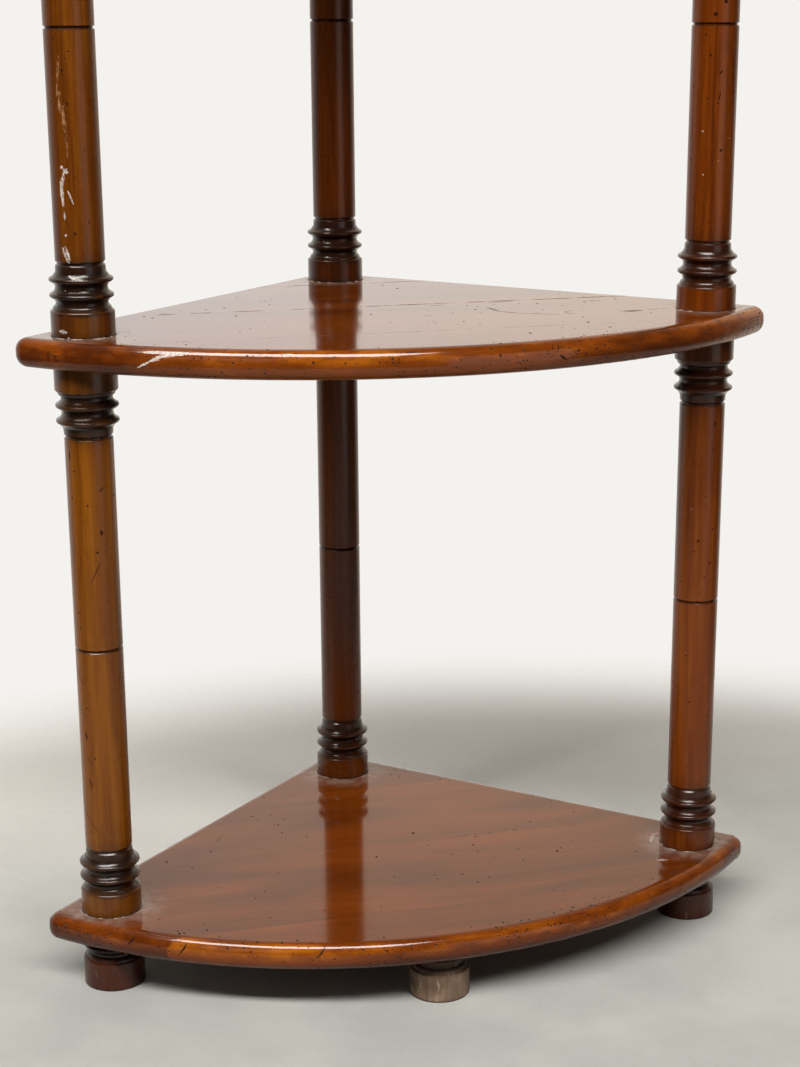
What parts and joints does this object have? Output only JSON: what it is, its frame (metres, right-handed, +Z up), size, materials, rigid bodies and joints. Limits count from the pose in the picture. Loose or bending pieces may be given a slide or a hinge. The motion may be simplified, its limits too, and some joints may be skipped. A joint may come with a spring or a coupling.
{
  "type": "corner etagere",
  "caption": "Free-standing corner etagere: quadrant shelves with curved fronts and straight wall sides, on turned posts with ringed collars, drum feet and ball finials.",
  "frame": {"origin": "on the floor, under the middle of the outer box", "axes": "+Z up, the curved front faces -Y, the back corner points to +Y, +X is to the right seen from the front"},
  "size_m": [0.5774, 0.4172, 1.4981],
  "materials": {
    "shelf_wood": "gloss lacquer over red-brown stain, worn and specked",
    "post_wood": "gloss lacquer over red-brown stain, rings and grooves stained nearly black",
    "finial_wood": "gloss lacquer over red-brown stain",
    "foot_wood": "gloss lacquer over dark red-brown stain",
    "bare_foot_wood": "faded, nearly bare and scuffed",
    "stud_steel": "plain turned steel"
  },
  "bodies": {
    "root": {"finial_back": "finial_wood", "finial_left": "finial_wood", "finial_right": "finial_wood", "foot_back": "foot_wood", "foot_centre_front": "bare_foot_wood", "foot_left": "foot_wood", "foot_right": "foot_wood", "post_back_section_1": "post_wood", "post_back_section_2": "post_wood", "post_back_section_3": "post_wood", "post_left_section_1": "post_wood", "post_left_section_2": "post_wood", "post_left_section_3": "post_wood", "post_right_section_1": "post_wood", "post_right_section_2": "post_wood", "post_right_section_3": "post_wood", "shelf_1_board_back": "shelf_wood", "shelf_1_board_front": "shelf_wood", "shelf_1_board_middle_back": "shelf_wood", "shelf_1_board_middle_front": "shelf_wood", "shelf_2_board_back": "shelf_wood", "shelf_2_board_front": "shelf_wood", "shelf_2_board_middle_back": "shelf_wood", "shelf_2_board_middle_front": "shelf_wood", "shelf_3_board_back": "shelf_wood", "shelf_3_board_front": "shelf_wood", "shelf_3_board_middle_back": "shelf_wood", "shelf_3_board_middle_front": "shelf_wood", "shelf_4_board_back": "shelf_wood", "shelf_4_board_front": "shelf_wood", "shelf_4_board_middle_back": "shelf_wood", "shelf_4_board_middle_front": "shelf_wood", "stud_back_shelf_1": "stud_steel", "stud_back_shelf_2": "stud_steel", "stud_back_shelf_3": "stud_steel", "stud_back_shelf_4": "stud_steel", "stud_centre_foot": "stud_steel", "stud_left_shelf_1": "stud_steel", "stud_left_shelf_2": "stud_steel", "stud_left_shelf_3": "stud_steel", "stud_left_shelf_4": "stud_steel", "stud_right_shelf_1": "stud_steel", "stud_right_shelf_2": "stud_steel", "stud_right_shelf_3": "stud_steel", "stud_right_shelf_4": "stud_steel"}
  },
  "joints": []
}
